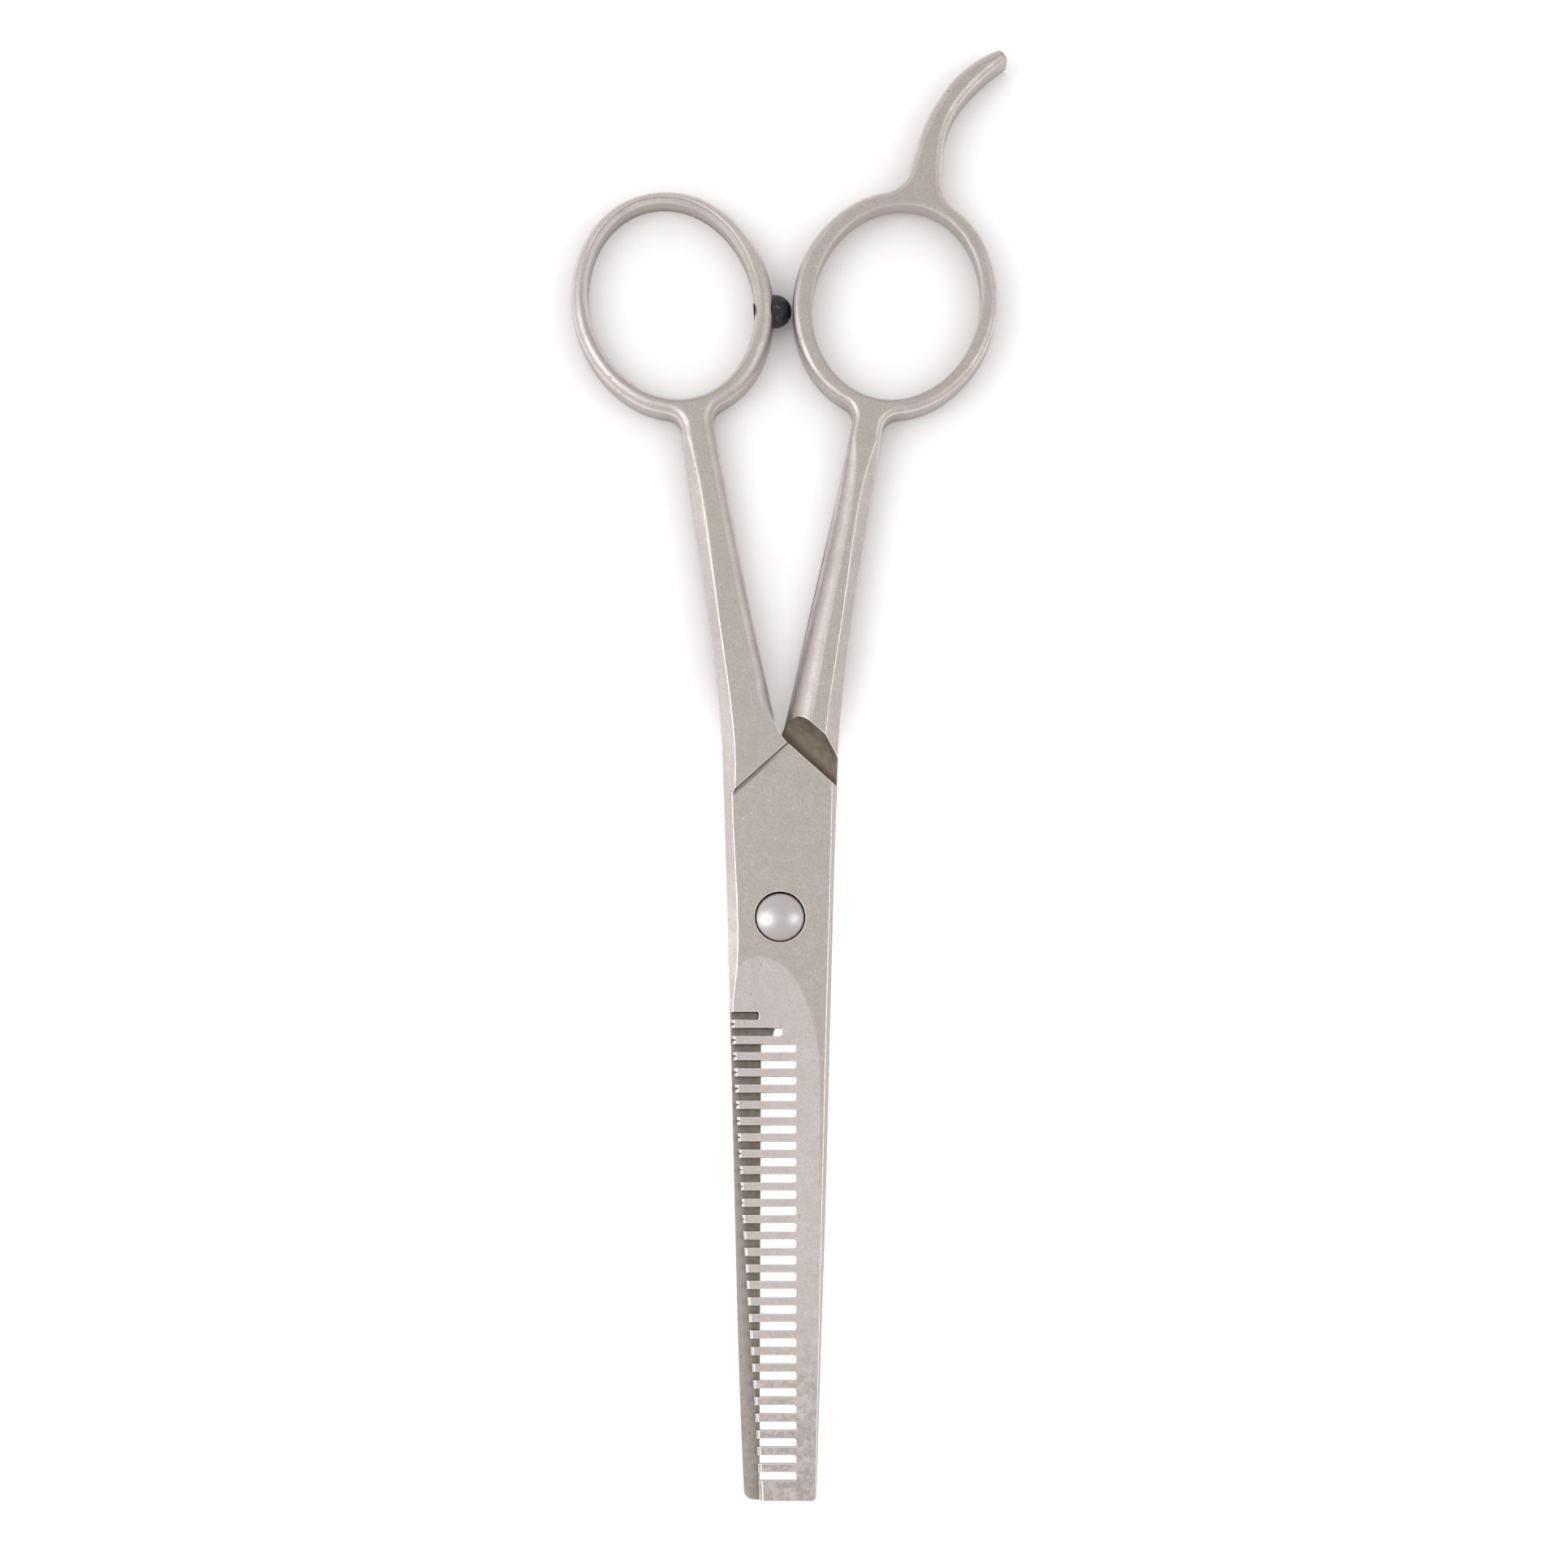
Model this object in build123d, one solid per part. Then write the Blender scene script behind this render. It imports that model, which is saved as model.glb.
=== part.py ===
from build123d import *
import math
import os

os.makedirs("parts", exist_ok=True)

# Thinning shears, closed and lying flat.  All sizes in millimetres.
# Origin: on the pivot axis, in the plane that the closed shears lie on.
# +Y runs from the blade tips to the finger rings.  +Z points out of the toothed side.
#
# Both halves are the same kind of forging.  Each is modelled with its handle on -X and
# its outside face up, and the straight half is then turned over about the Y axis.

# ---- driving dimensions ----------------------------------------------------------------
thickness = 4.8              # of a shank or ring, and of both blades together
lap_clearance = 0.04         # between the two flat blade faces
lap_height = (thickness + lap_clearance) / 2
tip_y = -70.75               # end of both blades

# Rings: (centre, long radius, short radius, lean of the long axis towards -X).
thumb_ring = ((-13.75, 78.68), 14.85, 12.8, 15)
thumb_hole = ((-13.95, 79.15), 13.05, 10.55, 14)
finger_ring = ((-14.65, 78.67), 14.75, 13.0, 13)
finger_hole = ((-14.85, 78.65), 12.9, 10.7, 11.5)
thumb_round = 1.2            # on the outside edges of the thumb ring and its shank
finger_round = 0.8           # on those of the finger ring, its shank and the finger rest
inside_round = 0.8           # on the inside edges of both
hole_chamfer = (0.55, 1.3)   # outside edge of a ring hole: across and down
hole_break = 0.15            # inside edge of a ring hole
handle_blend = 2.2           # between ring and shank
rest_blend = 4.5             # between ring and finger rest
finger_shift = 0.6           # the finger shank's top sits this much further out

# Shank and ricasso.
crotch = (-0.3, 22.95)       # where the shoulder meets the inner edge of the shank
crotch_radius = 5.0
spine_corner = (6.95, 16.4)  # where the shoulder meets the spine
handle_end = (-7.0, 13.0)    # full thickness is kept at least down to here
ramp_run = 3.7               # length of the run-up from the lap to the full thickness
ramp_radius = 9.0            # the run-up is slightly concave
ramp_gap = 0.2               # from the other half's shoulder to the foot of the ramp
step_depth = 0.16            # the ricasso face is ground this much below the shank
step_lean = 60               # degrees, lean of the small wall that the grinding leaves
step_line = ((-5.8, 15.5), (1.3, 21.9))

# Teeth.
slot_count = 29
slot_pitch = 1.985
slot_width = 1.0
first_slot_y = -12.23
slot_root_x = 1.9            # closed end of the full-length slots
slot_corner = 0.25           # radius in the corners of the closed end
tip_radius = 0.7             # on the corner of the spine
short_slot_roots = (-2.6, 0.2)
notched_teeth = 13
notch_depth = 0.55
notch_width = 0.5
ground_depth = 0.2           # of the hollow-ground face along its deepest line
ground_centre_x = -2.4
ground_half_width = 7.45
ground_start_y = -4.6        # the grinding runs out here, in a long curve
ground_full_y = -20.0        # full depth from here to the tip

# Straight blade.
straight_tip_radius = 1.3    # on the corner of the spine

# Pivot.
head_radius = 3.02
head_edge = 0.45
dome_height = 0.85
seat_radius = 3.13
seat_depth = 0.95
washer_thickness = 0.25
washer_gap = 0.02            # running gap between washer and seat
washer_radius = 2.85
barrel_radius = 1.8
barrel_clearance = 0.03
screw_seat_radius = 2.7
screw_seat_depth = 0.9
screw_head_radius = 2.5
screw_head_height = 0.7
screw_radius = 1.2
screw_bore_radius = 1.25
screw_length = 2.6
driver_slot = (0.6, 0.35)    # width and depth

# Rubber stop on the thumb ring.
stop_base = (-1.0, 77.95)
stop_tilt = 4                # degrees, towards the ring tops
stop_radius = 2.1
stop_projection = 2.45
stop_skirt = 0.4             # overlap of the dome's foot and stem at the ring's curved wall
stop_stem_radius = 1.2
stop_stem_length = 2.4


# ---- shared helpers --------------------------------------------------------------------
def section_plane(y):
    """Plane across the shears at y, with local x along X and local y along Z."""
    return Plane.XZ.offset(-y)


def slab(outline, bottom, top):
    """Flat slab of the given outline between two heights."""
    return Pos(0, 0, bottom) * extrude(outline, top - bottom)


def drum(radius, bottom, top):
    """Upright cylinder on the pivot axis."""
    return slab(Circle(radius), bottom, top)


def oval(centre, long_radius, short_radius, lean):
    """Four-arc oval, nearly an ellipse, whose long axis leans from +Y towards -X."""
    diagonal = math.hypot(long_radius, short_radius)
    surplus = (diagonal - (long_radius - short_radius)) / 2
    end_radius = surplus * diagonal / long_radius
    end_offset = long_radius - end_radius
    narrow = short_radius - end_radius
    side_offset = (end_offset ** 2 - narrow ** 2) / (2 * narrow)
    side_radius = short_radius + side_offset
    turn = math.atan2(end_offset, side_offset)
    joint_x = side_radius * math.cos(turn) - side_offset
    joint_y = side_radius * math.sin(turn)
    right = ThreePointArc((joint_x, -joint_y), (short_radius, 0), (joint_x, joint_y))
    top = ThreePointArc((joint_x, joint_y), (0, long_radius), (-joint_x, joint_y))
    left = ThreePointArc((-joint_x, joint_y), (-short_radius, 0), (-joint_x, -joint_y))
    bottom = ThreePointArc((-joint_x, -joint_y), (0, -long_radius), (joint_x, -joint_y))
    return Pos(*centre) * Rot(0, 0, lean) * make_face([right, top, left, bottom])


def ellipse(centre, long_radius, short_radius, lean):
    """Ellipse whose long axis leans from +Y towards -X."""
    return Pos(*centre) * Rot(0, 0, lean) * Ellipse(short_radius, long_radius)


def rounded_corner(outline, corner, radius):
    """Outline with the one corner nearest to the given point rounded."""
    nearest = min(outline.vertices(), key=lambda vertex: (vertex.center() - Vector(*corner)).length)
    return fillet(nearest, radius)


def main_piece(body):
    """The body without any offcut that a cut has left lying beside it."""
    return max(body.solids(), key=lambda solid: solid.volume)


def bevel_cutter(stations, side, face_z, up):
    """Solid that planes a bevel off a long edge.

    stations: (y, edge x, width, depth).  side is -1 for an edge on -X and 1 for +X.
    face_z is the height of the face.  up is 1 for a top face and -1 for an underside.
    """
    reach = 1.0
    sections = []
    for y, edge_x, width, depth in stations:
        ridge_x = edge_x - side * width
        far_x = edge_x + side * reach
        far_z = face_z - up * depth * (width + reach) / width
        outline = Polyline((ridge_x, face_z), (ridge_x, face_z + up * reach),
                           (far_x, face_z + up * reach), (far_x, far_z), close=True)
        sections.append(section_plane(y) * make_face(outline))
    return loft(sections)


def round_cutter(stations, side, face_z, up):
    """Solid that rounds a long edge with an arc tangent to the face.

    stations: (y, edge x, width, depth), and the rest as for bevel_cutter.
    """
    reach = 1.0
    sections = []
    for y, edge_x, width, depth in stations:
        radius = (width ** 2 + depth ** 2) / (2 * depth)
        half_turn = math.atan2(depth, width)
        start_x = edge_x - side * width
        end = (edge_x, face_z - up * depth)
        middle = (start_x + side * radius * math.sin(half_turn),
                  face_z - up * radius * (1 - math.cos(half_turn)))
        arc = ThreePointArc((start_x, face_z), middle, end)
        rest = Polyline(end, (edge_x + side * reach, face_z - up * depth),
                        (edge_x + side * reach, face_z + up * reach),
                        (start_x, face_z + up * reach), (start_x, face_z))
        sections.append(section_plane(y) * make_face([arc, *rest.edges()]))
    return loft(sections)


# ---- the forging -----------------------------------------------------------------------
def upright_edges(body, low_y, high_y, low_x=-99, high_x=99):
    """Straight edges along Z whose foot lies in the given range."""
    found = []
    for edge in body.edges().filter_by(Axis.Z):
        foot = edge.center()
        if low_y < foot.Y < high_y and low_x < foot.X < high_x:
            found.append(edge)
    return found


def rim_edges(body, face_z):
    """Curved edges of the flat face at one height."""
    level = [edge for edge in body.edges().filter_by(Plane.XY) if abs(edge.center().Z - face_z) < 0.01]
    return [edge for edge in level if edge.geom_type != GeomType.LINE]


def shank_outline(top_shift):
    """Shank from inside the ring's wall down to the ricasso."""
    outer_top = (-13.05 - top_shift, 67.0)
    inner_top = (-9.3 - top_shift, 67.0)
    inner_foot = (-1.6, 28.9)
    outer_side = Spline(outer_top, (-8.95, 36.8), (-7.25, 21.0), handle_end)
    inner_side = Spline(inner_top, (-5.3 - top_shift / 2, 46.6), (-3.3, 36.6), inner_foot)
    foot = Polyline(handle_end, crotch, inner_foot)
    return make_face([outer_side, inner_side, Line(inner_top, outer_top), *foot.edges()])


def rest_outline():
    """Hooked finger rest, from inside the ring's wall to its cut-off tip."""
    near_side = Spline((-16.2, 92.2), (-17.0, 97.6), (-18.85, 102.85), (-22.0, 107.95), (-28.2, 112.3))
    far_side = Spline((-20.8, 91.0), (-20.75, 97.5), (-21.95, 102.9), (-24.4, 106.6), (-29.25, 110.95))
    root = Line((-16.2, 92.2), (-20.8, 91.0))
    tip = Line((-28.2, 112.3), (-29.25, 110.95))
    return make_face([near_side, tip, far_side, root])


def handle(ring, hole, top_shift, outside_round, with_rest):
    """Ring, shank and, on the finger side, the finger rest, at full thickness."""
    outline = oval(*ring) + shank_outline(top_shift)
    if with_rest:
        outline += rest_outline()
    body = extrude(outline, thickness)
    body = fillet(upright_edges(body, 58, 67), handle_blend)
    if with_rest:
        body = fillet(upright_edges(body, 88, 98), rest_blend)
    body = fillet(rim_edges(body, thickness), outside_round)
    body = fillet(rim_edges(body, 0), inside_round)
    return body - hole_cutter(hole)


def hole_cutter(hole):
    """Ring hole with its edges broken: a wide chamfer outside, a slight one inside."""
    across, down = hole_chamfer
    cutter = slab(ellipse(*hole), -1, thickness + 1)
    cutter += flare(hole, thickness - down, thickness, across)
    return cutter + flare(hole, hole_break, 0, hole_break)


def flare(hole, start_z, end_z, across):
    """Cone-like solid that widens the hole by across between two heights."""
    centre, long_radius, short_radius, lean = hole
    wide = (centre, long_radius + across, short_radius + across, lean)
    return loft([Pos(0, 0, start_z) * ellipse(*hole), Pos(0, 0, end_z) * ellipse(*wide)])


def shoulder_frame():
    """Location on the shoulder line of the other half, with local x along the line."""
    run_x = spine_corner[0] - crotch[0]
    run_y = crotch[1] - spine_corner[1]
    angle = math.degrees(math.atan2(run_y, run_x))
    return Pos(-crotch[0], crotch[1]) * Rot(0, 0, angle)


def lap_cutter():
    """Everything removed from the inside face: the flat lap and the concave ramp."""
    flat = Pos(0, -60, lap_height / 2 - 5) * Box(80, 120, lap_height + 10)
    chord = math.hypot(ramp_run, lap_height)
    back = math.sqrt(ramp_radius ** 2 - chord ** 2 / 4)
    axis_y = ramp_run / 2 - back * lap_height / chord
    axis_z = lap_height / 2 - back * ramp_run / chord
    ramp = Pos(0, axis_y, axis_z) * Rot(0, 90, 0) * Cylinder(ramp_radius, 80)
    return shoulder_frame() * Pos(0, ramp_gap) * (flat + ramp)


def outer_facet_stations(top_shift, rounding):
    """Bevel of the shank's outer edge, which fades into the ring's rounding."""
    fade = rounding * (2 - math.sqrt(2))
    return [(61, -12.33 - top_shift, fade, fade), (57, -11.75 - top_shift * 0.7, 1.2, 0.8),
            (43, -9.75 - top_shift * 0.2, 1.35, 0.9), (29, -7.95, 1.5, 0.95), (16, -7.1, 1.45, 0.95)]


def inside_dome_stations(top_shift):
    """Wide rounding on the inside face, along the shank's inner edge."""
    return [(61, -8.15 - top_shift, inside_round, inside_round), (55, -7.05 - top_shift * 0.7, 2.0, 1.9),
            (44, -4.85 - top_shift * 0.4, 2.5, 2.2), (33, -2.5, 3.0, 2.3), (23, -0.3, 3.3, 2.3)]


def crotch_round_stations(outside_round):
    """Rounding on the outside face, from the shank's inner edge into the crotch."""
    places = [(31.5, -2.18), (29.2, -1.67), (26.0, -1.02), (24.5, -0.4), (23.4, 0.25)]
    radii = [share * outside_round for share in (0.7, 1.15, 0.9, 0.55, 0.25)]
    return [(y, x, radius, radius) for (y, x), radius in zip(places, radii)]


def forging(handle_body, blade_outline, top_shift, outside_round):
    """Handle and blade in one piece, with the lap cut and the shank's bevels planed."""
    blade = slab(blade_outline, lap_height, thickness)
    blade = fillet(upright_edges(blade, crotch[1] - 0.1, crotch[1] + 0.1), crotch_radius)
    body = handle_body - lap_cutter() + blade
    body -= bevel_cutter(outer_facet_stations(top_shift, outside_round), -1, thickness, 1)
    body -= bevel_cutter(outer_facet_stations(top_shift, inside_round), -1, 0, -1)
    body -= round_cutter(crotch_round_stations(outside_round), 1, thickness, 1)
    return body - round_cutter(inside_dome_stations(top_shift), 1, 0, -1)


# ---- toothed half ----------------------------------------------------------------------
tooth_line = [(-6.2, -10.0), (-5.4, -23.0), (-4.3, -41.0), (-3.65, -50.8), (-2.95, -61.0), (-2.45, tip_y)]
spine_line = [spine_corner, (6.65, 2.0), (6.3, -10.0), (5.65, -34.0), (4.9, -56.0), (4.45, tip_y)]


def slot_root(index):
    """X of a slot's closed end: the first two slots are short."""
    if index < len(short_slot_roots):
        return short_slot_roots[index]
    return slot_root_x


def slots():
    """Outlines of the slots between the teeth, with rounded corners at the closed end."""
    outlines = []
    for index in range(slot_count):
        root = slot_root(index)
        length = root + 9
        centre_y = first_slot_y - index * slot_pitch
        slot = Pos(root - length / 2, centre_y) * Rectangle(length, slot_width)
        outlines.append(fillet(slot.vertices().sort_by(Axis.X)[-2:], slot_corner))
    return outlines


def tooth_tip_x(y):
    """X of the line of tooth tips at y, between the points that shape it."""
    for (high_x, high_y), (low_x, low_y) in zip(tooth_line, tooth_line[1:]):
        if low_y <= y <= high_y:
            return high_x + (low_x - high_x) * (high_y - y) / (high_y - low_y)
    return tooth_line[-1][0]


def notches():
    """Outlines of the V notches in the tips of the teeth nearest the pivot."""
    outlines = []
    overshoot = 1.6      # the outline is this much larger than the notch, outwards
    for index in range(notched_teeth):
        centre_y = first_slot_y - (index + 0.5) * slot_pitch
        scale = 1 - 0.55 * index / notched_teeth
        half_width = overshoot * notch_width * scale / 2
        apex_x = tooth_tip_x(centre_y) + notch_depth * scale
        mouth_x = apex_x - overshoot * notch_depth * scale
        notch = Polyline((mouth_x, centre_y + half_width), (apex_x, centre_y),
                         (mouth_x, centre_y - half_width), close=True)
        outlines.append(make_face(notch))
    return outlines


def toothed_outline():
    """Ricasso and toothed blade, up to the crotch."""
    outer = Spline((-7.25, 21.0), (-6.8, 7.0), tooth_line[0])
    teeth = Spline(*tooth_line)
    tip = Line(tooth_line[-1], spine_line[-1])
    spine = Spline(*spine_line)
    shoulder = Line(spine_corner, crotch)
    shank_end = Polyline(crotch, (-1.6, 28.9), (-4.0, 28.9), (-7.25, 21.0))
    outline = make_face([outer, teeth, tip, spine, shoulder, *shank_end.edges()])
    outline = rounded_corner(outline, spine_line[-1], tip_radius)
    for opening in slots() + notches():
        outline -= opening
    return outline


def ground_cutter():
    """Shallow hollow along the toothed blade, with a long curved run-out at the ricasso."""
    reach = 9.0         # half width of the cutter, past both edges of the blade
    past = 1.3          # the wheel swings this far past the end of the run-out
    hollow_radius = ground_half_width ** 2 / (2 * ground_depth)
    runout_radius = (ground_start_y - ground_full_y) ** 2 / (2 * ground_depth)
    low_z = thickness - step_depth - ground_depth
    side_z = low_z + reach ** 2 / (2 * hollow_radius)
    start = (ground_centre_x - reach, side_z)
    end = (ground_centre_x + reach, side_z)
    arc = ThreePointArc(start, (ground_centre_x, low_z), end)
    rest = Polyline(end, (end[0], side_z + 1), (start[0], side_z + 1), start)
    profile = section_plane(ground_full_y) * make_face([arc, *rest.edges()])
    blade_part = extrude(profile, dir=(0, -1, 0), amount=ground_full_y - tip_y + 2)
    wheel_axis = Axis((0, ground_full_y, low_z + runout_radius), (1, 0, 0))
    sweep_angle = math.degrees(past * (ground_start_y - ground_full_y) / runout_radius)
    return blade_part + revolve(profile, wheel_axis, sweep_angle)


def step_cutter():
    """Thin layer ground off the ricasso, up to a sloping line with a leaning wall."""
    outline = Polyline(step_line[0], step_line[1], (9, 24), (9, -80), (-9, -80), (-9, 12.6), close=True)
    return Pos(0, 0, thickness - step_depth) * extrude(make_face(outline), 1, taper=-step_lean)


def toothed_bevels():
    """Bevels on the outside face of the ricasso and blade."""
    left = [(17, -7.15, 1.45, 0.95), (7, -6.8, 1.45, 0.95), (-3, -6.45, 1.55, 0.8), (-10.6, -6.2, 0.7, 0.5)]
    spine = [(17.5, 6.98, 0.75, 0.45), (2, 6.65, 0.8, 0.5), (-10, 6.3, 0.8, 0.5),
             (-34, 5.65, 0.75, 0.5), (-56, 4.9, 0.55, 0.4), (-72, 4.42, 0.35, 0.3)]
    tips = [(-10.3, -6.2, 0.35, 0.3), (-23, -5.4, 0.3, 0.25), (-41, -4.3, 0.25, 0.2),
            (-61, -2.95, 0.35, 0.25), (-72, -2.4, 0.5, 0.3)]
    tip_face_z = thickness - step_depth - 0.8 * ground_depth
    return [bevel_cutter(left, -1, thickness, 1), bevel_cutter(spine, 1, thickness, 1),
            bevel_cutter(tips, -1, tip_face_z, 1)]


def thumb_handle():
    """Thumb ring and shank before the lap is cut."""
    return handle(thumb_ring, thumb_hole, 0, thumb_round, False)


def toothed_blade():
    """The upper half: thumb ring, shank and toothed blade."""
    body = forging(thumb_handle(), toothed_outline(), 0, thumb_round)
    body -= step_cutter()
    body -= ground_cutter()
    for cutter in toothed_bevels():
        body -= cutter
    body -= drum(seat_radius, thickness - step_depth - seat_depth, thickness + 1)
    body -= drum(barrel_radius + barrel_clearance, 0, thickness)
    return main_piece(body - stop_stem())


# ---- straight half ---------------------------------------------------------------------
def straight_outline():
    """Ricasso and narrow straight blade, up to the crotch, handle on -X."""
    outer = Spline((-7.25, 21.0), (-6.8, 7.0), (-6.35, -8.0))
    heel = Spline((-6.35, -8.0), (-0.6, -12.6), (0.9, -14.7), tangents=((1, -0.55), (0, -1)))
    heel_step = ThreePointArc((0.9, -14.7), (1.45, -15.33), (2.35, -15.6))
    edge = Line((2.35, -15.6), (2.5, tip_y))
    tip = Line((2.5, tip_y), (4.4, tip_y))
    spine = Spline((4.4, tip_y), (5.2, -52.0), (5.75, -31.0), (6.3, -10.0), (6.65, 2.0), spine_corner)
    shoulder = Line(spine_corner, crotch)
    shank_end = Polyline(crotch, (-1.6, 28.9), (-4.0, 28.9), (-7.25, 21.0))
    outline = make_face([outer, heel, heel_step, edge, tip, spine, shoulder, *shank_end.edges()])
    return rounded_corner(outline, (4.4, tip_y), straight_tip_radius)


def straight_bevels():
    """Bevels on the outside face: cutting edge, spine and the ricasso's outer edge."""
    left = [(17, -7.15, 1.45, 0.95), (7, -6.8, 1.45, 0.95), (-3, -6.45, 1.0, 0.6), (-9, -6.3, 0.5, 0.4)]
    spine = [(17.5, 6.98, 0.75, 0.45), (2, 6.65, 0.8, 0.5), (-10, 6.3, 0.8, 0.5),
             (-31, 5.75, 0.75, 0.5), (-52, 5.2, 0.6, 0.45), (-72, 4.35, 0.5, 0.35)]
    edge = [(-15.6, 2.35, 1.7, 2.25), (-72, 2.5, 1.3, 2.25)]
    return [bevel_cutter(left, -1, thickness, 1), bevel_cutter(spine, 1, thickness, 1),
            bevel_cutter(edge, -1, thickness, 1)]


def straight_blade():
    """The lower half: finger ring with finger rest, shank and straight blade."""
    body = handle(finger_ring, finger_hole, finger_shift, finger_round, True)
    body = forging(body, straight_outline(), finger_shift, finger_round)
    for cutter in straight_bevels():
        body -= cutter
    body = Pos(0, 0, thickness) * Rot(0, 180, 0) * body
    body -= drum(barrel_radius, 0, thickness)
    return body - drum(screw_seat_radius, -1, screw_seat_depth)


# ---- pivot -----------------------------------------------------------------------------
def pivot_nut():
    """Domed barrel nut, sunk in the toothed half and held by the straight half."""
    seat_z = thickness - step_depth - seat_depth + washer_thickness
    rim_z = seat_z + head_edge
    sphere_radius = (head_radius ** 2 + dome_height ** 2) / (2 * dome_height)
    dome = Pos(0, 0, rim_z + dome_height - sphere_radius) * Sphere(sphere_radius)
    head = dome & drum(head_radius, seat_z, thickness * 2)
    barrel = drum(barrel_radius, screw_seat_depth, seat_z)
    bore = drum(screw_bore_radius, 0, screw_seat_depth + screw_length)
    return head + barrel - bore


def pivot_screw():
    """Tension screw, let into the underside of the straight half."""
    bottom = screw_seat_depth - screw_head_height
    head = drum(screw_head_radius, bottom, screw_seat_depth)
    head = chamfer(head.edges().filter_by(GeomType.CIRCLE).sort_by(Axis.Z)[0], 0.15)
    shaft = drum(screw_radius, screw_seat_depth, screw_seat_depth + screw_length - 0.1)
    width, depth = driver_slot
    slot = Pos(0, 0, bottom) * Box(screw_head_radius * 3, width, depth * 2)
    return head + shaft - slot


def pivot_washer():
    """Friction washer under the domed head."""
    seat_z = thickness - step_depth - seat_depth
    bottom = seat_z + washer_gap
    top = seat_z + washer_thickness
    return drum(washer_radius, bottom, top) - drum(barrel_radius + barrel_clearance, 0, thickness)


# ---- rubber stop -----------------------------------------------------------------------
def stop_frame():
    """Location at the foot of the stop's dome, with local z pointing out of the ring."""
    base_x, base_y = stop_base
    return Pos(base_x, base_y, thickness / 2) * Rot(0, 0, stop_tilt) * Rot(0, 90, 0)


def stop_stem():
    """The stop's stem, which also cuts the hole for it across the thumb ring's wall."""
    length = stop_stem_length + stop_skirt
    return stop_frame() * Pos(0, 0, stop_skirt - length / 2) * Cylinder(stop_stem_radius, length)


def rubber_stop():
    """Domed rubber stop, its foot moulded to the ring and its stem trimmed off inside."""
    sphere_radius = (stop_radius ** 2 + stop_projection ** 2) / (2 * stop_projection)
    dome = Pos(0, 0, stop_projection - sphere_radius) * Sphere(sphere_radius)
    dome &= extrude(Circle(stop_radius * 2), stop_projection * 2)
    skirt = Pos(0, 0, -stop_skirt / 2) * Cylinder(stop_radius, stop_skirt)
    return stop_frame() * (dome + skirt) - thumb_handle() + stop_stem()


def write(shape, node):
    """Write one named solid as a STEP file."""
    shape.label = node
    export_step(shape, f"parts/{node}.step")


write(toothed_blade(), "toothed_blade")
write(straight_blade(), "straight_blade")
write(pivot_nut(), "pivot_nut")
write(pivot_screw(), "pivot_screw")
write(pivot_washer(), "pivot_washer")
write(rubber_stop(), "rubber_stop")
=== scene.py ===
import math

import bpy
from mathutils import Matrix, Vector


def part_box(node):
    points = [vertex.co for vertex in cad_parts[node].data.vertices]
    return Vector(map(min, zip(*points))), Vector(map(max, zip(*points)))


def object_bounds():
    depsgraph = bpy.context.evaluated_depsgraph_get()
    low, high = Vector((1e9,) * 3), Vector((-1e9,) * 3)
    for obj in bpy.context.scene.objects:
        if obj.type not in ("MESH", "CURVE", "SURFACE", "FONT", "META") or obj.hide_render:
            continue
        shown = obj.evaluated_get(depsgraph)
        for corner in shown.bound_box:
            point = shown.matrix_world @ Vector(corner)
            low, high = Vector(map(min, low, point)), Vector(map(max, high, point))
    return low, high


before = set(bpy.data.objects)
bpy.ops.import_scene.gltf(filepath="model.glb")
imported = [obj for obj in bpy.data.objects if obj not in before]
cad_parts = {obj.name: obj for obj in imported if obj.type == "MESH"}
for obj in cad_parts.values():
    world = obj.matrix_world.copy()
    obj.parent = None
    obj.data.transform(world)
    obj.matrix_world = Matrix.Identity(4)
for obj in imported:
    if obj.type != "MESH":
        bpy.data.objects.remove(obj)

# Looks for the thinning shears.  All lengths in metres, in the frame of the CAD model:
# the origin is on the pivot axis, +Y runs to the rings and +Z points out of the toothed side.

cad_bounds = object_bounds()
mm = 0.001

# ---- camera: nearly overhead, tipped a little towards the rings -------------------------
CAMERA_PLACE = Vector((0.48, -40.76, 398.08)) * mm
CAMERA_TILT = math.radians(8.295)
CAMERA_LENS = 73.36          # mm, on a 36 mm sensor

# ---- light ----------------------------------------------------------------------------------
# A bright table top, an even room, a strong softbox on the left and a weak one on the right.
ROOM_COLOUR = (0.655, 0.635, 0.63)
ROOM_SLOPE = (-0.06, 0.04, 0.0)      # the room grows lighter towards -X and towards +Y
LEFT_SOFTBOX = dict(size=(0.42, 0.60), place=(-0.70, 0.00, 0.98), power=2.2)
RIGHT_SOFTBOX = dict(size=(0.24, 0.34), place=(0.70, 0.00, 0.98), power=0.85)
FLOOR_SIZE = 4.0
FLOOR_COLOUR = (0.80, 0.80, 0.80)
FLOOR_PAINTED_GLOW = (0.50, 0.92)            # painted glow of the floor, under the handles and under the blades
FLOOR_PAINTED_GLOW_CHANGE = (34 * mm, 8 * mm)    # y where the one begins to give way, and where it has
FLOOR_PAINTED_SHADE = 9 * mm                 # reach of the painted shade beside the handles

# ---- finishes -------------------------------------------------------------------------------
BLASTED_COLOUR = (0.705, 0.648, 0.60)
BLASTED_DARK = (0.563, 0.515, 0.474)
BLASTED_ROUGHNESS = 0.50
GROUND_COLOUR = (0.84, 0.77, 0.75)
GROUND_DARK = (0.70, 0.64, 0.62)
LAP_SHADE_COLOUR = (0.60, 0.545, 0.53)
GROUND_ROUGHNESS = 0.42
WORN_COLOUR = (1.0, 0.985, 0.96)
WORN_ROUGHNESS = 0.30
WALL_SHADE_COLOUR = (0.52, 0.47, 0.435)
STAIN_COLOUR = (0.45, 0.41, 0.38)
PIT_AND_SHADE_COLOUR = (0.30, 0.255, 0.22)
SEAT_SHADE_COLOUR = (0.025, 0.022, 0.02)
TARNISH_DARK = (0.23, 0.18, 0.135)
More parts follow.
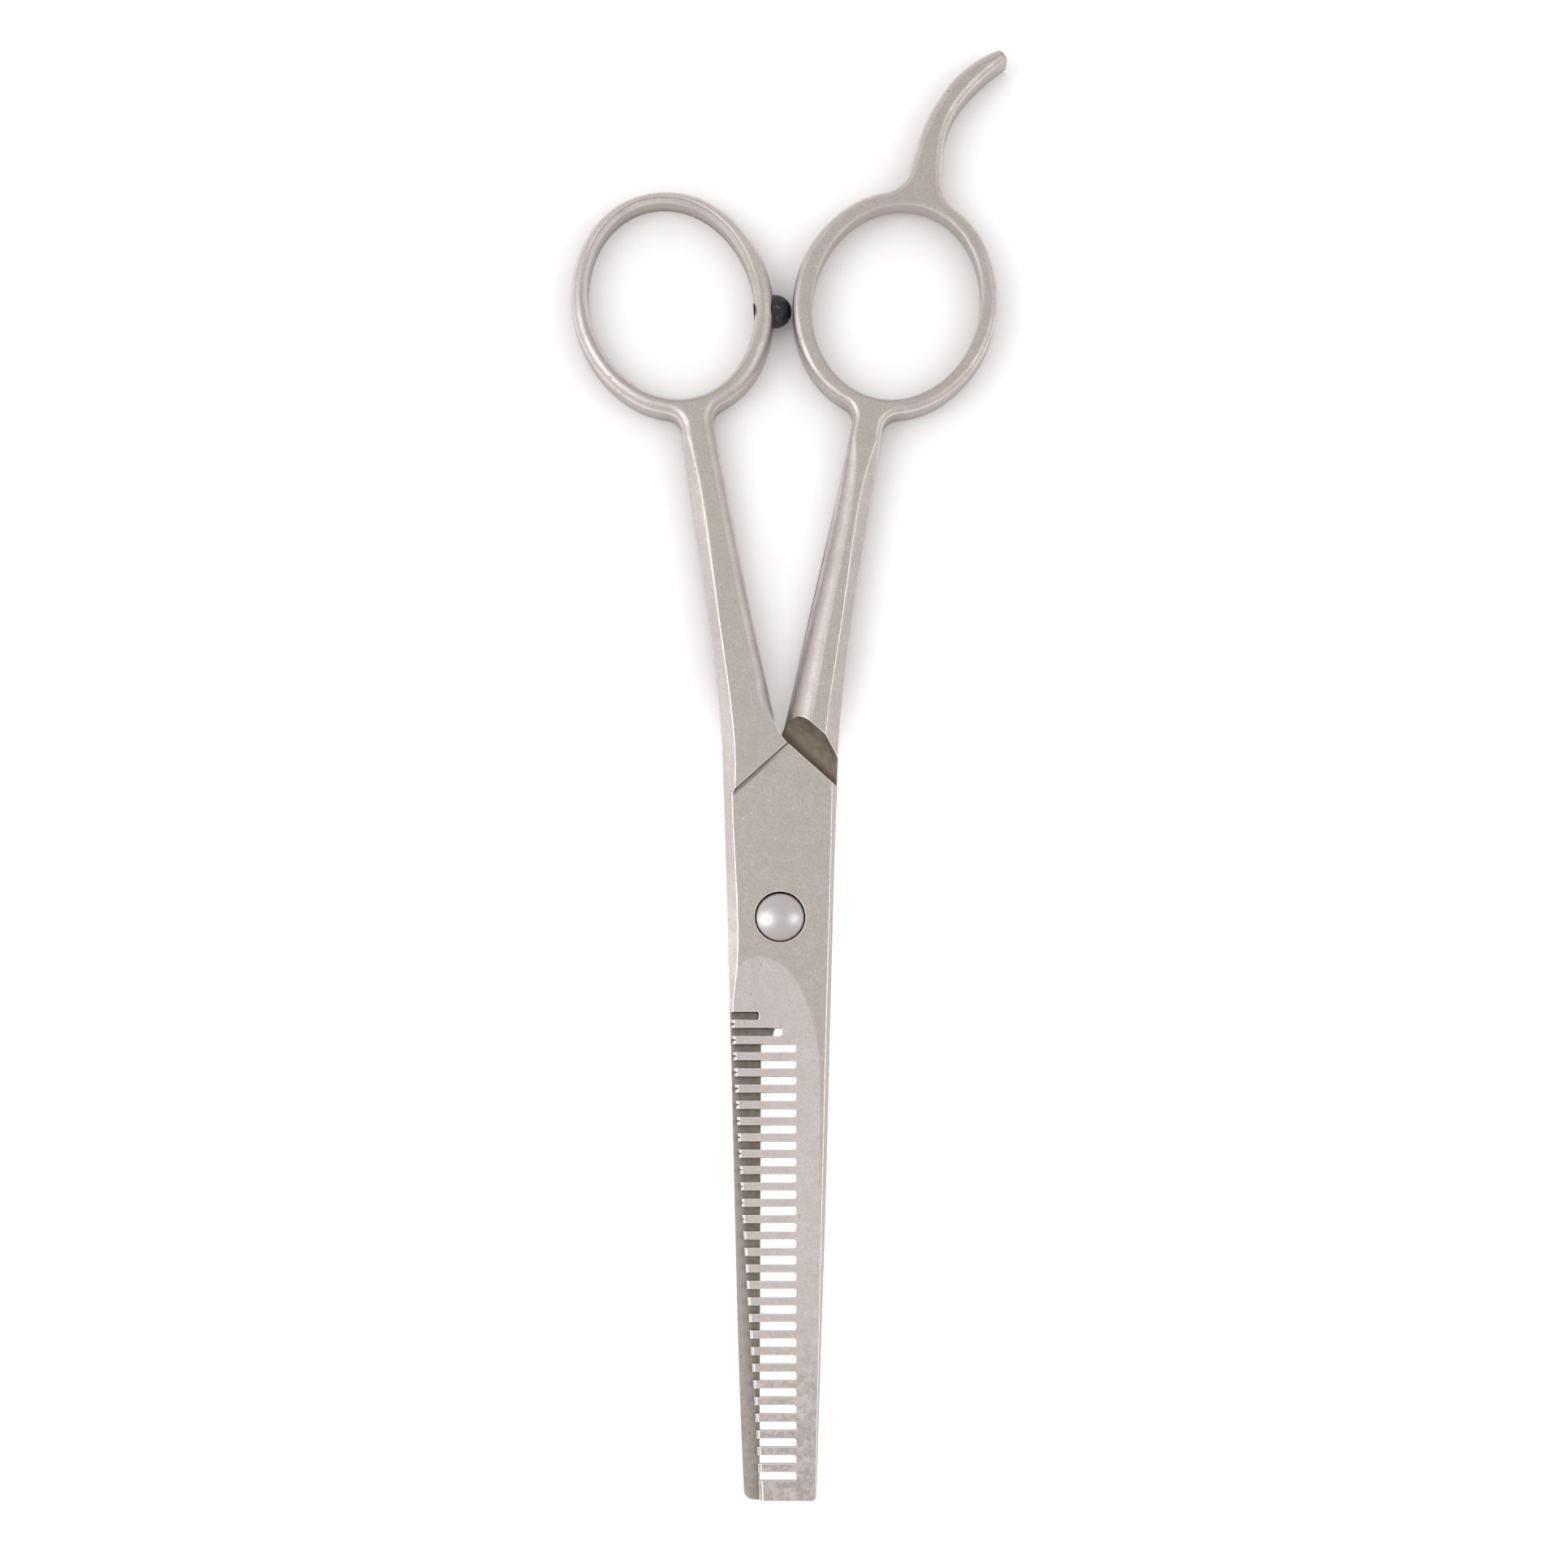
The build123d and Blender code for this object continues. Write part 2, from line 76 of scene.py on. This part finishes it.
TARNISH_LIGHT = (0.42, 0.345, 0.275)
POLISHED_COLOUR = (0.71, 0.69, 0.685)
POLISHED_WORN = (0.85, 0.85, 0.84)
WASHER_DARK = (0.012, 0.012, 0.013)
WASHER_LIGHT = (0.03, 0.03, 0.032)
RUBBER_COLOUR = (0.014, 0.015, 0.018)
RUBBER_SCUFFED = (0.095, 0.10, 0.115)

# Heights of the flat faces, which tell the blasted flats from the ground blade faces.
CAD_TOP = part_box("toothed_blade")[1].z
LAP_LOW = 0.3 * CAD_TOP
LAP_HIGH = 0.52 * CAD_TOP
GROUND_HIGH = CAD_TOP - 0.168 * mm
STEP_LOWEST = CAD_TOP - 0.3 * mm

# The small step across the ricasso: a point on it, its direction as an angle from +X, and
# how far its painted shadow line lies towards the tips.
STEP_POINT = Vector((-5.8, 15.5)) * mm
STEP_ANGLE = math.radians(42.0)
STEP_INSET = 0.13 * mm

# The concave run-ups behind the blades lie within this reach of a line across the shears.
RUN_UP_Y = 20.5 * mm
RUN_UP_REACH = 7.0 * mm


# The pivot nut's round seat, just wider than the nut.
SEAT_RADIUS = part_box("pivot_nut")[1].x + 0.13 * mm


def make_camera():
    """The camera, looking almost straight down."""
    data = bpy.data.cameras.new("camera")
    data.lens = CAMERA_LENS
    data.sensor_width = 36.0
    data.clip_start = 0.01
    camera = bpy.data.objects.new("camera", data)
    camera.location = CAMERA_PLACE
    camera.rotation_euler = (CAMERA_TILT, 0.0, 0.0)
    bpy.context.scene.collection.objects.link(camera)
    bpy.context.scene.camera = camera


def softbox(name, size, place, power, target=(0.0, 0.02, 0.0)):
    """A rectangular area light that faces the shears."""
    data = bpy.data.lights.new(name, "AREA")
    data.shape = "RECTANGLE"
    data.size, data.size_y = size
    data.energy = power
    light = bpy.data.objects.new(name, data)
    light.location = place
    light.rotation_mode = "QUATERNION"
    light.rotation_quaternion = (Vector(place) - Vector(target)).to_track_quat("Z", "Y")
    bpy.context.scene.collection.objects.link(light)


def make_lights():
    """Two side softboxes, and a room that is a little lighter on the left and far sides."""
    softbox("left_softbox", **LEFT_SOFTBOX)
    softbox("right_softbox", **RIGHT_SOFTBOX)
    world = bpy.data.worlds.new("room")
    world.use_nodes = True
    tree = world.node_tree
    direction = tree.nodes.new("ShaderNodeTexCoord")
    slope = tree.nodes.new("ShaderNodeVectorMath")
    slope.operation = "DOT_PRODUCT"
    slope.inputs[1].default_value = ROOM_SLOPE
    strength = tree.nodes.new("ShaderNodeMath")
    strength.inputs[1].default_value = 1.0
    background = tree.nodes["Background"]
    background.inputs["Color"].default_value = (*ROOM_COLOUR, 1.0)
    tree.links.new(direction.outputs["Generated"], slope.inputs[0])
    tree.links.new(slope.outputs["Value"], strength.inputs[0])
    tree.links.new(strength.outputs[0], background.inputs["Strength"])
    bpy.context.scene.world = world
    bpy.context.scene.view_settings.view_transform = "Standard"


def make_floor():
    """A pale table top under the shears, glowing with painted light: brighter under the blades,
    dimmed by painted shade beside the handles.
    """
    half = FLOOR_SIZE / 2
    corners = [(-half, -half, 0.0), (half, -half, 0.0), (half, half, 0.0), (-half, half, 0.0)]
    mesh = bpy.data.meshes.new("floor")
    mesh.from_pydata(corners, [], [(0, 1, 2, 3)])
    floor = bpy.data.objects.new("floor", mesh)
    floor.location.z = cad_bounds[0].z - 0.02 * mm
    material = bpy.data.materials.new("floor")
    material.use_nodes = True
    shader = material.node_tree.nodes["Principled BSDF"]
    shader.inputs["Base Color"].default_value = (*FLOOR_COLOUR, 1.0)
    shader.inputs["Roughness"].default_value = 0.9
    shader.inputs["Specular IOR Level"].default_value = 0.1
    shader.inputs["Emission Color"].default_value = (1.0, 1.0, 1.0, 1.0)
    tree = material.node_tree
    place = tree.nodes.new("ShaderNodeTexCoord")
    parts = tree.nodes.new("ShaderNodeSeparateXYZ")
    shade = tree.nodes.new("ShaderNodeAmbientOcclusion")
    shade.samples = 8
    shade.inputs["Distance"].default_value = FLOOR_PAINTED_SHADE
    # Painted shade: the glow under the handles is dimmed where the shears hem the floor in.
    shaded_glow = tree.nodes.new("ShaderNodeMath")
    shaded_glow.operation = "MULTIPLY"
    shaded_glow.inputs[1].default_value = FLOOR_PAINTED_GLOW[0]
    painted_glow = tree.nodes.new("ShaderNodeMapRange")
    painted_glow.interpolation_type = "SMOOTHSTEP"
    painted_glow.inputs["From Min"].default_value = FLOOR_PAINTED_GLOW_CHANGE[0]
    painted_glow.inputs["From Max"].default_value = FLOOR_PAINTED_GLOW_CHANGE[1]
    painted_glow.inputs["To Max"].default_value = FLOOR_PAINTED_GLOW[1]
    tree.links.new(shade.outputs["AO"], shaded_glow.inputs[0])
    tree.links.new(shaded_glow.outputs[0], painted_glow.inputs["To Min"])
    tree.links.new(place.outputs["Object"], parts.inputs[0])
    tree.links.new(parts.outputs["Y"], painted_glow.inputs["Value"])
    tree.links.new(painted_glow.outputs["Result"], shader.inputs["Emission Strength"])
    mesh.materials.append(material)
    bpy.context.scene.collection.objects.link(floor)


class Nodes:
    """Small helper that adds and links the nodes of one material."""

    def __init__(self, name):
        self.material = bpy.data.materials.new(name)
        self.material.use_nodes = True
        self.tree = self.material.node_tree
        self.shader = self.tree.nodes["Principled BSDF"]
        self.place = self.add("ShaderNodeTexCoord").outputs["Object"]

    def add(self, kind, **settings):
        node = self.tree.nodes.new(kind)
        for key, value in settings.items():
            setattr(node, key, value)
        return node

    def link(self, source, target):
        self.tree.links.new(source, target)

    def feed(self, socket, value):
        """Link an output to a socket, or set the socket to a plain value."""
        if isinstance(value, bpy.types.NodeSocket):
            self.link(value, socket)
        else:
            socket.default_value = value

    def noise(self, size, detail=3.0, roughness=0.55):
        """Noise whose lumps are about size across, as a factor."""
        node = self.add("ShaderNodeTexNoise")
        node.inputs["Scale"].default_value = 1.0 / size
        node.inputs["Detail"].default_value = detail
        node.inputs["Roughness"].default_value = roughness
        self.link(self.place, node.inputs["Vector"])
        return node.outputs["Fac"]

    def math(self, operation, first, second=0.0):
        """One step of arithmetic on outputs or plain values."""
        node = self.add("ShaderNodeMath", operation=operation)
        self.feed(node.inputs[0], first)
        self.feed(node.inputs[1], second)
        return node.outputs[0]

    def ramp(self, factor, low, high, out_low=0.0, out_high=1.0):
        """Smooth step of a factor between low and high."""
        node = self.add("ShaderNodeMapRange", interpolation_type="SMOOTHSTEP")
        self.feed(node.inputs["Value"], factor)
        for key, value in (("From Min", low), ("From Max", high),
                           ("To Min", out_low), ("To Max", out_high)):
            node.inputs[key].default_value = value
        return node.outputs["Result"]

    def mix(self, factor, first, second):
        """Mix of two colours."""
        node = self.add("ShaderNodeMix", data_type="RGBA")
        self.feed(node.inputs["Factor"], factor)
        for socket, value in ((node.inputs[6], first), (node.inputs[7], second)):
            self.feed(socket, value if isinstance(value, bpy.types.NodeSocket) else (*value, 1.0))
        return node.outputs[2]

    def axis(self, vector, name):
        """One component of a vector."""
        node = self.add("ShaderNodeSeparateXYZ")
        self.link(vector, node.inputs[0])
        return node.outputs[name]

    def mix_values(self, factor, first, second):
        """Mix of two plain values."""
        node = self.add("ShaderNodeMix", data_type="FLOAT")
        self.feed(node.inputs["Factor"], factor)
        self.feed(node.inputs[2], first)
        self.feed(node.inputs[3], second)
        return node.outputs[0]

    def specks(self, spacing, radius, share, offset=(0, 0, 0)):
        """Scattered dots: one per cell of about spacing, in the given share of the cells."""
        scaled = self.add("ShaderNodeMapping")
        scaled.inputs["Scale"].default_value = (1 / spacing,) * 3
        scaled.inputs["Location"].default_value = offset
        self.link(self.place, scaled.inputs["Vector"])
        cells = self.add("ShaderNodeTexVoronoi")
        cells.inputs["Scale"].default_value = 1.0
        self.link(scaled.outputs["Vector"], cells.inputs["Vector"])
        dot = self.ramp(cells.outputs["Distance"], 2 * radius / spacing, radius / spacing)
        chosen = self.math("LESS_THAN", self.axis(cells.outputs["Color"], "X"), share)
        return self.math("MULTIPLY", dot, chosen)

    def crevices(self, distance, low, high):
        """How hemmed in the surface is: 1 deep in a slot or corner, 0 in the open."""
        node = self.add("ShaderNodeAmbientOcclusion", samples=8)
        node.inputs["Distance"].default_value = distance
        return self.ramp(self.math("SUBTRACT", 1.0, node.outputs["AO"]), low, high)

    def ridges(self, radius, low, high):
        """1 on a sharp or bevelled edge and 0 on an open face."""
        soft = self.add("ShaderNodeBevel", samples=8)
        soft.inputs["Radius"].default_value = radius
        dot = self.add("ShaderNodeVectorMath", operation="DOT_PRODUCT")
        self.link(soft.outputs["Normal"], dot.inputs[0])
        self.link(self.add("ShaderNodeNewGeometry").outputs["Normal"], dot.inputs[1])
        return self.ramp(self.math("SUBTRACT", 1.0, dot.outputs["Value"]), low, high)

    def softened(self, radius):
        """Normal that turns smoothly over the sharp edges."""
        node = self.add("ShaderNodeBevel", samples=8)
        self.feed(node.inputs["Radius"], radius)
        return node.outputs["Normal"]

    def bump(self, height, distance, normal=None):
        """Normal roughened by a height of up to distance, on top of another normal."""
        node = self.add("ShaderNodeBump")
        node.inputs["Distance"].default_value = distance
        self.link(height, node.inputs["Height"])
        if normal is not None:
            self.link(normal, node.inputs["Normal"])
        return node.outputs["Normal"]


def step_mask(n, level):
    """1 along the small step that the grinding leaves across the ricasso."""
    across = n.math("SUBTRACT", n.math("MULTIPLY", n.axis(n.place, "Y"), math.cos(STEP_ANGLE)),
                    n.math("MULTIPLY", n.axis(n.place, "X"), math.sin(STEP_ANGLE)))
    offset = STEP_POINT.y * math.cos(STEP_ANGLE) - STEP_POINT.x * math.sin(STEP_ANGLE)
    distance = n.math("ABSOLUTE", n.math("SUBTRACT", across, offset - STEP_INSET))
    on_line = n.ramp(distance, 0.20 * mm, 0.09 * mm)
    fading = n.math("MULTIPLY", n.ramp(n.axis(n.place, "X"), 1.8 * mm, -3.0 * mm),
                    n.ramp(n.axis(n.place, "X"), -6.0 * mm, -5.7 * mm))
    on_top = n.math("GREATER_THAN", level, STEP_LOWEST)
    return n.math("MULTIPLY", n.math("MULTIPLY", on_line, fading), on_top)


def seat_mask(n):
    """1 inside the round seat of the pivot nut."""
    flat = n.add("ShaderNodeCombineXYZ")
    n.link(n.axis(n.place, "X"), flat.inputs["X"])
    n.link(n.axis(n.place, "Y"), flat.inputs["Y"])
    distance = n.add("ShaderNodeVectorMath", operation="LENGTH")
    n.link(flat.outputs[0], distance.inputs[0])
    return n.math("LESS_THAN", distance.outputs["Value"], SEAT_RADIUS)


def run_up_mask(n, surface):
    """1 on the concave run-ups behind the blades, which face the tip and one side."""
    sideways = n.ramp(n.math("ABSOLUTE", n.axis(surface, "X")), 0.10, 0.16)
    tipwards = n.ramp(n.axis(surface, "Y"), -0.12, -0.18)
    from_centre = n.math("ABSOLUTE", n.math("SUBTRACT", n.axis(n.place, "Y"), RUN_UP_Y))
    nearby = n.math("LESS_THAN", from_centre, RUN_UP_REACH)
    return n.math("MULTIPLY", n.math("MULTIPLY", sideways, tipwards), nearby)


def satin_steel():
    """Stainless steel: bead-blasted flats, smoother ground faces, worn bright edges, pits, and
    painted shade on walls, the lap face, slots, the step and the nut's seat.
    """
    n = Nodes("satin_steel")
    grain = n.noise(0.25 * mm, detail=4.0, roughness=0.7)
    patches = n.noise(2.6 * mm, detail=5.0)

    # Blasted flats against ground bevels, roundings and blade faces.
    surface = n.add("ShaderNodeNewGeometry").outputs["True Normal"]
    tilt = n.math("ABSOLUTE", n.axis(surface, "Z"))
    level = n.axis(n.place, "Z")
    blade_face = n.math("MULTIPLY", n.math("GREATER_THAN", level, LAP_LOW),
                        n.math("LESS_THAN", level, GROUND_HIGH))
    blasted = n.math("MULTIPLY", n.ramp(tilt, 0.996, 0.9999), n.math("SUBTRACT", 1.0, blade_face))

    speckle = n.ramp(grain, 0.30, 0.70)
    base = n.mix(blasted, n.mix(speckle, GROUND_DARK, GROUND_COLOUR),
                 n.mix(speckle, BLASTED_DARK, BLASTED_COLOUR))
    # Painted shade: the straight blade's lap face, which lies under the toothed blade, is painted
    # darker.
    lap_face = n.math("MULTIPLY", blade_face, n.math("LESS_THAN", level, LAP_HIGH))
    base = n.mix(n.math("MULTIPLY", lap_face, n.ramp(tilt, 0.90, 0.99)), base, LAP_SHADE_COLOUR)
    base = n.mix(n.ramp(patches, 0.35, 0.70, 0.0, 0.35), base, BLASTED_DARK)
    # Painted shade: steep walls are painted darker.
    base = n.mix(n.ramp(tilt, 0.55, 0.15), base, WALL_SHADE_COLOUR)
    rough = n.math("ADD", n.ramp(blasted, 0.0, 1.0, GROUND_ROUGHNESS, BLASTED_ROUGHNESS),
                   n.ramp(patches, 0.3, 0.7, -0.04, 0.05))

    # Stains and small pits, denser towards the tip of the blade, and a few bright nicks.
    along = n.axis(n.place, "Y")
    near_tip = n.ramp(along, -40 * mm, -69 * mm)
    stain = n.math("MULTIPLY", n.ramp(n.noise(0.8 * mm, detail=6.0, roughness=0.7), 0.36, 0.62),
                   n.ramp(near_tip, 0.0, 1.0, 0.10, 0.75))
    base = n.mix(stain, base, STAIN_COLOUR)
    pit = n.specks(1.2 * mm, 0.10 * mm, n.ramp(near_tip, 0.0, 1.0, 0.10, 0.40))
    nick = n.specks(1.0 * mm, 0.08 * mm, 0.30, offset=(0.7, 0.3, 0.1))
    base = n.mix(n.math("MULTIPLY", pit, 0.5), base, PIT_AND_SHADE_COLOUR)
    base = n.mix(n.math("MULTIPLY", nick, 0.35), base, WORN_COLOUR)

    # Edges are worn bright, unevenly, apart from the step across the ricasso.
    step = step_mask(n, level)
    wear = n.ramp(n.noise(0.8 * mm, detail=4.0), 0.34, 0.52, 0.45, 1.0)
    wear = n.math("MULTIPLY", wear, n.ramp(along, 56 * mm, 42 * mm, 0.45, 1.0))
    worn = n.math("MULTIPLY", n.math("MULTIPLY", n.ridges(0.20 * mm, 0.002, 0.009), wear),
                  n.math("SUBTRACT", 1.0, step))
    base = n.mix(worn, base, WORN_COLOUR)
    rough = n.mix_values(worn, rough, WORN_ROUGHNESS)

    # The run-ups behind the blades are tarnished brown; painted shade darkens the slots and corners,
    # and the nut's seat is painted near-black as the shade in its gap.
    run_up = run_up_mask(n, surface)
    streaks = n.noise(0.9 * mm, detail=4.0)
    uneven_level = n.math("ADD", level, n.math("MULTIPLY", streaks, 0.9 * mm))
    bands = n.ramp(uneven_level, 0.98 * CAD_TOP, 0.66 * CAD_TOP)
    tarnish = n.math("MULTIPLY", run_up, n.ramp(streaks, 0.3, 0.7, 0.85, 1.0))
    base = n.mix(tarnish, base, n.mix(bands, TARNISH_DARK, TARNISH_LIGHT))
    crevice_shade = n.math("MULTIPLY", n.crevices(3.0 * mm, 0.10, 0.55), n.ramp(streaks, 0.3, 0.7, 0.7, 1.0))
    crevice_shade = n.math("MULTIPLY", crevice_shade, n.ramp(run_up, 0.0, 1.0, 1.0, 0.4))
    # Painted shade in the slots and corners, and a painted shadow along the step line.
    base = n.mix(n.math("MAXIMUM", crevice_shade, n.math("MULTIPLY", step, 0.8)), base, PIT_AND_SHADE_COLOUR)
    # Painted shade: the nut's seat is painted near-black, standing in for the shadow in its gap.
    base = n.mix(seat_mask(n), base, SEAT_SHADE_COLOUR)

    # The grain roughens a normal that is soft over the edges, softest on the upper shanks.
    n.link(base, n.shader.inputs["Base Color"])
    n.link(rough, n.shader.inputs["Roughness"])
    n.shader.inputs["Metallic"].default_value = 1.0
    height = n.math("SUBTRACT", grain, n.math("MULTIPLY", pit, 2.0))
    softness = n.ramp(along, 30 * mm, 56 * mm, 0.15 * mm, 0.9 * mm)
    n.link(n.bump(height, 0.012 * mm, n.softened(softness)), n.shader.inputs["Normal"])
    return n.material


def polished_steel():
    """Polished pivot steel with faint smudges and brighter edges."""
    n = Nodes("polished_steel")
    smudge = n.noise(1.1 * mm, detail=3.0)
    worn = n.ridges(0.12 * mm, 0.02, 0.2)
    n.link(n.mix(worn, POLISHED_COLOUR, POLISHED_WORN), n.shader.inputs["Base Color"])
    n.link(n.ramp(smudge, 0.3, 0.7, 0.34, 0.42), n.shader.inputs["Roughness"])
    n.shader.inputs["Metallic"].default_value = 1.0
    n.link(n.softened(0.1 * mm), n.shader.inputs["Normal"])
    return n.material


def washer_plastic():
    """Dark friction washer."""
    n = Nodes("washer_plastic")
    speckle = n.noise(0.3 * mm)
    n.link(n.mix(speckle, WASHER_DARK, WASHER_LIGHT), n.shader.inputs["Base Color"])
    n.shader.inputs["Roughness"].default_value = 0.55
    return n.material


def stop_rubber():
    """Black rubber with scuffed grey patches."""
    n = Nodes("stop_rubber")
    patch = n.noise(1.1 * mm, detail=5.0, roughness=0.65)
    grain = n.noise(0.12 * mm, detail=3.0)
    scuffed = n.ramp(patch, 0.48, 0.66)
    n.link(n.mix(scuffed, RUBBER_COLOUR, RUBBER_SCUFFED), n.shader.inputs["Base Color"])
    n.link(n.ramp(patch, 0.35, 0.65, 0.42, 0.68), n.shader.inputs["Roughness"])
    height = n.math("ADD", n.math("MULTIPLY", patch, 3.0), grain)
    n.link(n.bump(height, 0.03 * mm), n.shader.inputs["Normal"])
    return n.material


def dress(node, material):
    """Give a CAD node its finish."""
    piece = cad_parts[node]
    piece.data.materials.clear()
    piece.data.materials.append(material)


make_camera()
make_lights()
make_floor()
steel = satin_steel()
bright = polished_steel()
dress("toothed_blade", steel)
dress("straight_blade", steel)
dress("pivot_nut", bright)
dress("pivot_screw", bright)
dress("pivot_washer", washer_plastic())
dress("rubber_stop", stop_rubber())
